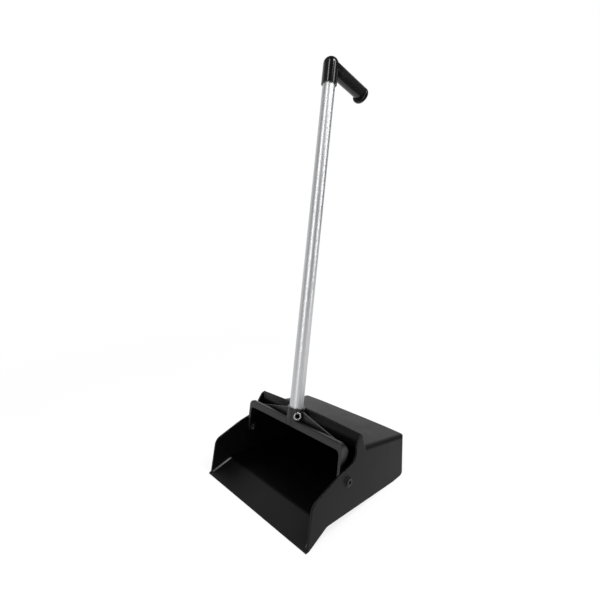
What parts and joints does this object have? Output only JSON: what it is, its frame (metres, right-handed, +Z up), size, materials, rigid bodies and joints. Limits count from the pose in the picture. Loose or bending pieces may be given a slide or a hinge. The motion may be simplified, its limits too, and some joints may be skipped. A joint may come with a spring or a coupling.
{
  "type": "lobby_dustpan",
  "caption": "Black hooded lobby dustpan with a ramped lip, a swinging yoke, an upright alloy tube handle and a rear-reaching plastic grip",
  "frame": {"origin": "middle of the lip's resting strip, on the floor", "axes": "+X to the right seen from behind the handle, along the lip and the pivots, +Y from the lip to the rear wall, +Z up"},
  "size_m": [0.299, 0.3716, 0.8987],
  "materials": {
    "pan_plastic": "satin black moulded plastic",
    "yoke_plastic": "satin black moulded plastic",
    "grip_plastic": "semi-gloss black plastic",
    "cap_plastic": "dull black plastic",
    "tube_alloy": "drawn alloy with lengthwise streaks",
    "fastener_steel": "bright zinc-plated steel",
    "bush_nylon": "natural nylon",
    "bolt_steel": "dark oxide steel with bright worn edges",
    "seal_rubber": "dull black rubber"
  },
  "bodies": {
    "pan": {"pan_body": "pan_plastic", "pivot_bolt_left": "bolt_steel", "pivot_seal_left": "seal_rubber", "pivot_spacer_left": "fastener_steel", "pivot_washer_left": "fastener_steel", "pivot_nut_left": "fastener_steel", "pivot_bolt_right": "bolt_steel", "pivot_seal_right": "seal_rubber", "pivot_spacer_right": "fastener_steel", "pivot_washer_right": "fastener_steel", "pivot_nut_right": "fastener_steel"},
    "handle": {"yoke": "yoke_plastic", "handle_tube": "tube_alloy", "handle_grip": "grip_plastic", "grip_end_cap": "cap_plastic", "socket_rivet": "fastener_steel", "pivot_bush_left": "bush_nylon", "pivot_bush_right": "bush_nylon"}
  },
  "joints": [
    {"name": "handle_swing", "type": "hinge", "parent": "pan", "child": "handle", "pos_m": [0, 0.103, 0.065], "axis": [1, 0, 0], "range_deg": [0, 100]}
  ]
}
